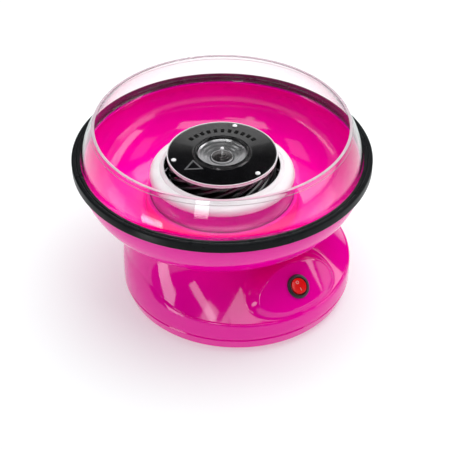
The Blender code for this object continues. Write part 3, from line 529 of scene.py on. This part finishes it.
def make_bowl():
    """Pink bowl: flange, curved wall and the raised hub wall round the heater cup."""
    inner_w, inner_h = BOWL_HALF_W - BOWL_WALL, BOWL_HALF_H - BOWL_WALL
    outline = [(BOWL_FLANGE_R, BOWL_TOP_Z), (BOWL_FLANGE_R, BOWL_TOP_Z - 2.4)]
    outline += arc(BOWL_CURVE_R, BOWL_CURVE_Z, BOWL_HALF_W, BOWL_HALF_H, 0, -90, 40)
    outline += [(HUB_IN_R + 0.6, 78.0), (HUB_IN_R, 78.8)]
    outline += rounded([(HUB_IN_R, 90.0), (HUB_IN_R - 0.3, HUB_TOP_Z - 1.2, 0.3),
                        (HUB_IN_R - 0.3, HUB_TOP_Z, 0.4),
                        (HUB_OUT_R - 0.5, HUB_TOP_Z - 0.2, 1.2), (HUB_OUT_R + 0.4, 90.0)])[:-1]
    hub_fillet = 5.0
    foot_r = HUB_OUT_R + 0.6
    floor_z = BOWL_CURVE_Z - inner_h
    outline += arc(foot_r + hub_fillet, floor_z + hub_fillet, hub_fillet, hub_fillet,
                   180, 262, 8)
    outline += [p for p in arc(BOWL_CURVE_R, BOWL_CURVE_Z, inner_w, inner_h, -90, 0, 44)
                if p[0] > foot_r + hub_fillet + 0.5]
    outline += [(BOWL_LEDGE_R, BOWL_TOP_Z - 1.2), (BOWL_LEDGE_R, BOWL_TOP_Z)]
    turned("floss_bowl", outline, body="bowl", slot="pink_gloss", replaces=["bowl"])


def make_rim():
    """Black rim band over the bowl's flange, with one fine groove round its top."""
    groove = [(RIM_GROOVE_R + 0.8, RIM_TOP_Z - 0.15, 0.3),
              (RIM_GROOVE_R + 0.3, RIM_TOP_Z - 0.9, 0.2),
              (RIM_GROOVE_R - 0.3, RIM_TOP_Z - 0.9, 0.2),
              (RIM_GROOVE_R - 0.8, RIM_TOP_Z - 0.35, 0.3)]
    outline = rounded([(RIM_R - 0.5, RIM_BOTTOM_Z, 0.3), (RIM_R, RIM_BOTTOM_Z + 0.8, 0.6),
                       (RIM_R, RIM_TOP_Z - 0.6, 1.5), (RIM_R - 1.5, RIM_TOP_Z, 0.8), *groove,
                       (RIM_IN_R, RIM_TOP_Z - 0.9, 0.9), (RIM_IN_R, BOWL_TOP_Z + GAP),
                       (BOWL_FLANGE_R + GAP, BOWL_TOP_Z + GAP),
                       (BOWL_FLANGE_R + GAP, RIM_BOTTOM_Z)], 4)
    turned("rim_band", outline, body="bowl", slot="black_rim", replaces=["rim_ring"])


def make_guard():
    """Clear guard: it flares from its frosted top edge down to a straight foot in the rim."""
    foot_z, steps = BOWL_TOP_Z + GAP, 26
    rise = [i / steps for i in range(steps + 1)]
    top_z = GUARD_TOP_Z - 0.7
    outer = [(GUARD_FOOT_R - (GUARD_FOOT_R - GUARD_TOP_R) * t ** GUARD_BULGE,
              GUARD_STRAIGHT_Z + (top_z - GUARD_STRAIGHT_Z) * t) for t in rise]
    inner = [(r - GUARD_WALL, z) for r, z in reversed(outer)]
    lip = [(GUARD_TOP_R - 0.2, GUARD_TOP_Z - 0.5),
           (GUARD_TOP_R - GUARD_WALL + 0.2, GUARD_TOP_Z - 0.5)]
    foot = rounded([(GUARD_FOOT_R - GUARD_WALL, foot_z, 0.5), (GUARD_FOOT_R, foot_z, 0.5)])
    turned("clear_guard", foot + outer + lip + inner, body="guard", slot="clear_acrylic",
           replaces=["splash_guard"])
    cap = [(GUARD_TOP_R + 0.1, GUARD_TOP_Z - 0.45), (GUARD_TOP_R + 0.1, GUARD_TOP_Z - 0.15),
           (GUARD_TOP_R - 0.2, GUARD_TOP_Z), (GUARD_TOP_R - GUARD_WALL + 0.1, GUARD_TOP_Z),
           (GUARD_TOP_R - GUARD_WALL - 0.1, GUARD_TOP_Z - 0.15),
           (GUARD_TOP_R - GUARD_WALL - 0.1, GUARD_TOP_Z - 0.45)]
    turned("guard_edge", cap, body="guard", slot="clear_acrylic", look="frosted_edge")
    # Two opaque grey-pink rings at the top edge are painted shade: the dark lines the clear edge
    # shows in the light.
    lines = []
    for name, radius, height in (("line_top", GUARD_TOP_R, GUARD_TOP_Z - 0.4),
                                 ("line_low", GUARD_TOP_R + 0.6, GUARD_TOP_Z - 5.2)):
        lines.append(turned(name, arc(radius, height, 0.28, 0.28, 0, 330, 11)))
    merged(lines[0], lines[1:])
    finish(lines[0], "guard_lines", "guard", "painted_shade_line")


# ---------------------------------------------------------------- heater cup and head

def make_cup():
    """Heater cup of one aluminium: a rolled shoulder painted white as a painted highlight, and a
    polished side wall darkened and tinted pink as painted shade and painted reflection of the
    bowl.
    """
    shoulder = arc(CUP_CREASE_R, CUP_SHOULDER_Z, CUP_R - CUP_CREASE_R,
                   CUP_CREASE_Z - CUP_SHOULDER_Z, 0, 84, 22)
    crease = [(CUP_CREASE_R + 0.5, CUP_CREASE_Z - 0.05), (CUP_CREASE_R + 0.1, CUP_CREASE_Z - 0.5),
              (CUP_CREASE_R - 0.4, CUP_CREASE_Z - 0.35), (CUP_CREASE_R - 0.8, CUP_CREASE_Z + 0.35)]
    lip = [(CUP_LIP_R + 1.6, CUP_LIP_Z - 0.25), (CUP_LIP_R + 0.7, CUP_LIP_Z),
           (CUP_LIP_R + 0.1, CUP_LIP_Z - 0.3), (CUP_LIP_R, CUP_LIP_Z - 1.0),
           (CUP_LIP_R + 0.8, CUP_LIP_Z - 1.3)]
    under = [(r - CUP_WALL, z - CUP_WALL * 0.8) for r, z in reversed(shoulder[:-1])]
    # The shoulder is drawn in the painted-highlight white, where the real aluminium mirrors the
    # light above.
    turned("cup_shoulder", [*shoulder, *crease, *lip, (CUP_CREASE_R - 1.2, CUP_CREASE_Z - 1.6),
                            *under], body="base", slot="aluminium", look="painted_highlight_metal",
           replaces=["heater_cup"])
    inside_r, side_top_z = CUP_R - CUP_WALL, CUP_SHOULDER_Z - 0.05
    # The side wall is darkened and tinted pink: painted shade and painted reflection of the bowl.
    turned("cup_wall", [(14, CUP_FLOOR_Z - 1), (inside_r, CUP_FLOOR_Z - 1),
                        (inside_r, DECK_Z + GAP), (CUP_R, DECK_Z + GAP), (CUP_R, side_top_z),
                        (inside_r, side_top_z), (inside_r, CUP_FLOOR_Z), (14, CUP_FLOOR_Z)],
           body="base", slot="aluminium", look="polished_cup_painted_shade")


def arc_bar(name, radius, angle, length, width, low, high):
    """A short raised bar that follows the head's circle."""
    half = length / radius / 2
    steps = 6
    sweep = [radians(angle) - half + 2 * half * i / steps for i in range(steps + 1)]
    outline = [((radius + width / 2) * cos(a), (radius + width / 2) * sin(a)) for a in sweep]
    outline += [((radius - width / 2) * cos(a), (radius - width / 2) * sin(a))
                for a in reversed(sweep)]
    return prism(name, outline, low, high)


def triangle_mark(name, x, y, size, low, high, facing):
    """A plain raised outline triangle."""
    outer = [(size * cos(a), size * sin(a)) for a in [radians(facing + 120 * k) for k in range(3)]]
    inner = [(px * 0.7, py * 0.7) for px, py in outer]
    verts = [(x + px, y + py, z) for ring, z in ((outer, low), (outer, high), (inner, high),
                                                 (inner, low)) for px, py in ring]
    rings = [range(3 * k, 3 * k + 3) for k in range(4)]
    return piece(name, verts, ring_faces(rings + rings[:1]))


def make_plate():
    """Black top plate with its raised double bead and generic raised marks."""
    corners = [(24.3, 140.3), (24.3, 144.0, 0.3), (25.0, 144.5, 0.4), (25.8, 144.0, 0.3),
               (26.1, 143.0, 0.3), (26.7, 143.0, 0.3), (27.0, 143.6, 0.3), (27.8, 143.7, 0.5),
               (28.6, PLATE_FACE_Z, 0.6), (51.9, PLATE_FACE_Z, 0.3), (52.4, 141.3, 0.3),
               (52.4, 140.3)]
    turned("top_plate", rounded(corners, 4), body="head", slot="black_enamel",
           replaces=["head_plate"])
    marks = []
    bars, arc_r, centre_angle, span = 11, 38.5, 52.0, 104.0
    for i in range(bars):
        angle = centre_angle - span / 2 + span * i / (bars - 1)
        marks.append(arc_bar(f"mark_{i}", arc_r, angle, 3.4, 4.2, PLATE_FACE_Z + 0.05,
                             PLATE_FACE_Z + 0.5))
    first = marks.pop(0)
    merged(first, marks)
    finish(first, "plate_marks", "head", "mark_black")
    x, y = around(35.3, 182.0)
    triangle = triangle_mark("triangle", x, y, 10.6, PLATE_FACE_Z + 0.05, PLATE_FACE_Z + 0.6,
                             176.0)
    finish(triangle, "plate_triangle", "head", "mark_grey")


def make_dish():
    """The dish's rim as a double line round the plate, painted white as a painted highlight, and
    the funnel in its middle.
    """
    turned("dish_rim", rounded([(30, 139.0), (52.6, 138.5, 0.2), (53.3, 138.4, 0.3),
                                (53.5, 139.3, 0.3), (52.9, 139.7, 0.2), (52.9, 141.0, 0.2),
                                (HEAD_R - 0.2, 141.3, 0.2), (HEAD_R, 142.0, 0.3),
                                (53.3, HEAD_TOP_Z, 0.3), (52.8, 142.1, 0.2),
                                (52.8, 140.0), (30, 140.0)], 4),
           body="head", slot="aluminium", look="painted_highlight_metal", replaces=["head_dish"])
    steps = 34
    inside, outside = [], []
    for i in range(steps + 1):
        t = i / steps
        radius = FUNNEL_LOW_R + (FUNNEL_HIGH_R - FUNNEL_LOW_R) * t
        height = FUNNEL_LOW_Z + (FUNNEL_HIGH_Z - FUNNEL_LOW_Z) * t ** 1.1
        ripple = 0.16 * sin(2 * pi * t * 3)
        inside.append((radius, height + ripple))
        outside.append((radius, height - 1.0))
    funnel = outside + [(24.0, 139.0), (29.6, 139.0), (29.6, 140.0), (24.0, 140.0), (24.0, 141.5),
                        (23.7, 141.8), (23.3, 141.5)] + inside[::-1]
    turned("funnel", funnel, ROUND, body="head", slot="aluminium", look="spun_dish",
           replaces=["head_funnel"])


def make_hub():
    """Head base, and the drive hub: a stepped cone with a ball tip and a slotted sleeve."""
    turned("head_underside", rounded([(6.0, 98.0), (10.0, 98.0, 0.4), (10.0, 103.6, 1.0),
                                      (51.5, 105.0, 0.4), (52.0, 106.0, 0.3), (52.0, 108.0, 0.2),
                                      (49.9, 108.0), (49.5, 106.6, 0.5), (6.0, 106.6)]),
           ROUND, body="head", slot="aluminium", replaces=["head_base"])
    # The ball tip and a thin flange ring at the cone's foot are painted white as painted
    # highlights: the ball's glint and a bright crescent below the cone.
    ball = arc(0, 147.0, 1.9, 1.7, -52, 86, 12)
    turned("hub_ball", [(0, 141.6), (1.1, 141.6), (1.1, 145.4), *ball, (0, 148.7)], SMALL,
           body="head", slot="aluminium", look="painted_highlight_metal")
    turned("hub_flange", [(10.35, 136.3), (10.7, 136.3), (10.6, 138.0), (10.35, 138.0)],
           ROUND, body="head", slot="aluminium", look="painted_highlight_metal")
    sleeve = rounded([(0, 141.5), (1.7, 141.5, 0.2), (2.2, 141.0, 0.2), (2.3, 140.6, 0.1),
                      (4.4, 140.5, 0.3), (4.8, 139.6, 0.3), (6.8, 139.5, 0.3), (7.2, 138.7, 0.3),
                      (9.5, 138.5, 0.4), (10.1, 137.5, 0.4), (10.3, 136.6, 0.3),
                      (10.3, 129.2)], 3)
    sleeve += [(5.6, 127.5), (5.6, 96.5), (BORE_R, 96.5), (BORE_R, SHAFT_TOP_Z + GAP),
               (0, SHAFT_TOP_Z + GAP)]
    hub = turned("drive_hub", sleeve, ROUND, body="head", slot="aluminium", look="dark_hub",
                 replaces=["drive_sleeve"])
    combine(hub, [prism("sleeve_slot", [(-9, -1.8), (9, -1.8), (9, 1.8), (-9, 1.8)], 95.0,
                        PIN_Z + 1.8)])


def make_rivets():
    """Three long rivets that hold the head together, domed above the plate and painted white as
    painted highlights.
    """
    dome = arc(0, 142.3, 2.5, 1.2, 0, 80, 8)
    outline = [(0, 101.9), (1.6, 102.0), (2.4, 102.6), (2.4, 104.3), (1.6, 104.3), (1.6, 142.2),
               (2.5, 142.2), *dome, (0, 143.5)]
    for i in range(3):
        x, y = around(RIVET_RING_R, RIVET_FIRST_ANGLE + 120 * i)
        turned(f"rivet_{i + 1}", outline, SMALL, body="head", slot="steel", look="painted_highlight_metal",
               replaces=[f"head_rivet_{i + 1}"], at=(x, y, 0))


def vane_strip(name, start, low, high):
    """A thin metal strip along the crown of one slanted vane."""
    levels, half = 12, 2.3
    verts, rings = [], []
    for level in range(levels + 1):
        share = level / levels
        height = low + (high - low) * share
        middle = radians(start + VANE_TWIST * share)
        rings.append(range(len(verts), len(verts) + 4))
        for radius, side in ((VANE_OUT_R - 0.2, -1), (VANE_OUT_R + 0.25, -1),
                             (VANE_OUT_R + 0.25, 1), (VANE_OUT_R - 0.2, 1)):
            angle = middle + side * half / VANE_OUT_R
            verts.append((radius * cos(angle), radius * sin(angle), height))
    faces = ring_faces(rings) + [tuple(rings[0]), tuple(rings[-1])]
    return piece(name, verts, faces)


def make_vanes():
    """Slanted vane band: every vane is a raised rounded rib that twists as it rises."""
    low, high, levels, around_steps = VANE_LOW_Z, VANE_HIGH_Z, 14, 20
    count = VANES * around_steps
    verts, rings = [], []
    for inner in (False, True):
        for level in range(levels + 1):
            height = level / levels
            rings.append(range(len(verts), len(verts) + count))
            for k in range(count):
                angle = 2 * pi * k / count + radians(VANE_TWIST) * height
                part = k % around_steps / around_steps
                rib = smoothstep((part - 0.1) / 0.12) - smoothstep((part - 0.52) / 0.12)
                radius = VANE_IN_R if inner else VANE_OUT_R - 1.5 * (1 - rib)
                verts.append((radius * cos(angle), radius * sin(angle),
                              low + (high - low) * height))
    outer, inside = rings[:levels + 1], rings[levels + 1:]
    piece("vane_band", verts, ring_faces(outer + inside[::-1] + outer[:1]), "head",
          "black_enamel", ["vane_ring"])
    strips = [vane_strip(f"strip_{v}", 360 * (v + 0.31) / VANES, low + 1, high - 1)
              for v in range(VANES)]
    first = strips.pop(0)
    merged(first, strips)
    finish(first, "vane_strips", "head", "vane_grey")


# ---------------------------------------------------------------- switch and gland

def make_switch():
    """Round switch on the pod: black bezel, red rocker, and a ring and a bar as its marks."""
    centre = (0, POD_Y, POD_Z)
    corners = [(0, -14), (SWITCH_BARREL_R, -14, 0.5), (SWITCH_BARREL_R, GAP), (SWITCH_R, GAP, 0.3),
               (SWITCH_R, 1.3, 0.6), (11.0, 2.3, 0.7), (9.2, 2.5, 0.5), (8.5, 1.7, 0.4),
               (8.5, -12), (0, -12)]
    turned("switch_bezel", rounded(corners, 6), ROUND, body="base", slot="switch_black",
           replaces=["switch_housing"], at=centre, turn=pod_matrix())
    half, dip, mark_y = 2.3, 0.5, 3.6
    turn = pod_matrix(-ROCKER_REST, ROCKER_PIVOT)
    crown = [(ROCKER_R * t, half - dip * (1 - t * t)) for t in [k / 10 * 0.93 for k in range(11)]]
    edge = arc(ROCKER_R - 0.6, half - 0.75, 0.6, 0.6, 80, 0, 5)
    outline = [(0, -half), (ROCKER_R - 0.5, -half), (ROCKER_R, -half + 0.5)] + edge[::-1] \
        + crown[::-1]
    turned("rocker_cap", outline, ROUND, body="rocker", slot="switch_red",
           replaces=["switch_rocker"], at=centre, turn=turn)
    off_ring = turned("off_mark", rounded([(1.05, 1.7), (1.05, 2.35, 0.1), (1.6, 2.35, 0.1),
                                           (1.6, 1.7)], 2), SMALL, at=centre,
                      turn=turn @ Matrix.Translation((0, mark_y * MM, 0)))
    on_bar = prism("on_mark", [(-0.3, -1.5), (0.3, -1.5), (0.3, 1.5), (-0.3, 1.5)], 1.7, 2.35,
                   at=centre, turn=turn @ Matrix.Translation((0, -mark_y * MM, 0)))
    finish(off_ring, "off_mark", "rocker", "mark_white")
    finish(on_bar, "on_mark", "rocker", "mark_white")


def make_gland():
    """Ribbed rubber cord boot that clips into the rear wall."""
    clip = -SHELL_WALL - 1.5
    corners = [(3.5, clip - 2), (8.2, clip - 2, 0.4), (8.2, clip), (6.6, clip), (6.6, GAP),
               (9.0, GAP, 0.3), (9.0, 2.4, 0.8), (7.2, 3.4, 0.6), (6.9, 5.2, 0.3), (6.2, 5.6, 0.2),
               (6.7, 6.8, 0.3), (6.5, 8.2, 0.3), (5.8, 8.6, 0.2), (6.3, 9.8, 0.3),
               (6.1, 11.2, 0.3), (5.5, 11.6, 0.2), (5.9, 13.4, 0.5), (5.0, 14.0, 0.4), (3.5, 14.0)]
    turned("cord_boot", rounded(corners, 3), ROUND, body="base", slot="rubber",
           replaces=["cord_gland"], at=(0, base_reach(pi, BASE_R), GLAND_Z),
           turn=Matrix.Rotation(radians(-90), 4, "X"))


# ---------------------------------------------------------------- studio

def make_studio():
    """White table in even light; gloss mirrors only the table and the panels."""
    half = 8000
    corners = [(-half, -half, 0), (half, -half, 0), (half, half, 0), (-half, half, 0)]
    floor = piece("floor", corners, [(0, 1, 2, 3)])
    floor.data.materials.append(surface("paper_floor", (0.51, 0.57, 0.555), 0.6, mottle=0.01,
                                        mottle_size=400, grain=0.05, grain_size=2.0,
                                        Emission_Color=(1.0, 0.98, 1.0, 1.0),
                                        Emission_Strength=0.42))
    world = bpy.data.worlds.new("studio")
    scene.world = world
    world.use_nodes = True
    background = world.node_tree.nodes["Background"]
    background.inputs["Color"].default_value = (1.0, 0.99, 1.0, 1.0)
    background.inputs["Strength"].default_value = 0.5
    world.cycles_visibility.glossy = False


def area_light(name, width, height, radiance):
    """A rectangular light, in metres, that only gloss and clear pieces see."""
    data = bpy.data.lights.new(name, "AREA")
    data.shape = "RECTANGLE"
    data.size, data.size_y = width, height
    data.energy = radiance * pi * width * height
    light = bpy.data.objects.new(name, data)
    scene.collection.objects.link(light)
    light.visible_camera = light.visible_diffuse = False
    return light


def softbox(name, azimuth, elevation, distance, width, height, radiance):
    """A soft box at an azimuth and elevation round the machine, in metres, aimed at it."""
    az, el = radians(azimuth), radians(elevation)
    away = Vector((sin(az) * cos(el), -cos(az) * cos(el), sin(el)))
    light = area_light(name, width, height, radiance)
    light.location = Vector((0, 0, LIGHT_AIM_Z)) + away * distance
    light.rotation_euler = away.to_track_quat("Z", "Y").to_euler()
    return light


def panel(name, corner, across, up, radiance):
    """An upright light panel from its lower corner, edge vector and height, in millimetres."""
    edge, rise = Vector(across), Vector((0, 0, up))
    facing = edge.cross(rise).normalized()
    light = area_light(name, edge.length * MM, up * MM, radiance)
    light.location = (Vector(corner) + edge / 2 + rise / 2) * MM
    basis = Matrix((edge.normalized(), Vector((0, 0, 1)), facing)).transposed()
    light.rotation_euler = basis.to_euler()


def flag(name, corner, across, up):
    """A black studio flag that only gloss sees, which cuts the panels' light off there."""
    low, edge, rise = Vector(corner), Vector(across), Vector((0, 0, up))
    card = piece(name, [low, low + edge, low + edge + rise, low + rise], [(0, 1, 2, 3)])
    card.data.materials.append(looks["rubber"])
    card.visible_camera = card.visible_diffuse = card.visible_transmission = False
    return card


def make_lights():
    """One big overhead key gives the light; the other lights only draw highlights."""
    key = softbox("top_key", 105, 77, 1.2, 1.5, 1.4, 3.1)
    key.visible_diffuse = True
    key.visible_glossy = False
    panel("left_strip", (-300, -18, -2), (0, -74, 0), 128, 5.5)
    dark_flag = flag("dark_flag", (-300, 50, -2), (0, -68, 0), 180)
    softbox("left_low", -130, 21, 1.1, 0.9, 0.08, 4.0)
    softbox("left_high", -152, 56, 1.1, 0.5, 0.2, 1.0)
    softbox("right_low", 67, 31, 1.1, 0.85, 0.2, 4.5)
    softbox("right_streak", 42, 15, 1.1, 0.75, 0.3, 2.0)
    softbox("right_high", 71, 52, 1.1, 0.5, 0.2, 0.6)
    softbox("front_top", -38, 66, 1.2, 1.25, 0.32, 3.6)
    softbox("front_left_top", -57, 51, 1.16, 0.4, 0.2, 3.6)
    front_angle = -141
    x, y = around(450, front_angle)
    panel("front_strip", (x - 24, y + 29, 210), (48, -58, 0), 420, 4.5)
    x, y = around(200, front_angle)
    strip_flag = flag("strip_flag", (x - 40, y + 50, 235), (80, -100, 0), 212)
    softbox("back_panel", 142, 20, 1.2, 1.3, 0.64, 1.0)

    # The flags shade the other lights, but not the key, so they leave no shadow on the table.
    unshaded = bpy.data.collections.new("unshaded")
    key.light_linking.blocker_collection = unshaded
    for card in (dark_flag, strip_flag):
        unshaded.objects.link(card)
    for entry in unshaded.collection_objects:
        entry.light_linking.link_state = "EXCLUDE"


def make_camera():
    """The same view of the machine as a catalogue shot: from its front left, from above."""
    azimuth, elevation, distance = radians(-37.5), radians(37.86), 1.45
    right = Vector((cos(azimuth), sin(azimuth), 0))
    target = right * 0.0028 + Vector((0, 0, 0.0539))
    back = Vector((sin(azimuth) * cos(elevation), -cos(azimuth) * cos(elevation),
                   sin(elevation)))
    data = bpy.data.cameras.new("camera")
    data.lens = 115.8
    data.sensor_width = 36
    camera = bpy.data.objects.new("camera", data)
    scene.collection.objects.link(camera)
    camera.location = target + back * distance
    camera.rotation_euler = back.to_track_quat("Z", "Y").to_euler()
    scene.camera = camera
    scene.view_settings.view_transform = "Standard"


make_camera()
looks = make_looks()
for row in frame["record"]["subparts"]:
    node = frame["nodes"][row["node"]]
    node.data.materials.clear()
    node.data.materials.append(looks[row["material_slot"]])
make_shell()
make_pan()
make_feet()
make_screws()
make_bowl()
make_rim()
make_guard()
make_cup()
make_plate()
make_dish()
make_hub()
make_rivets()
make_vanes()
make_switch()
make_gland()
make_studio()
make_lights()
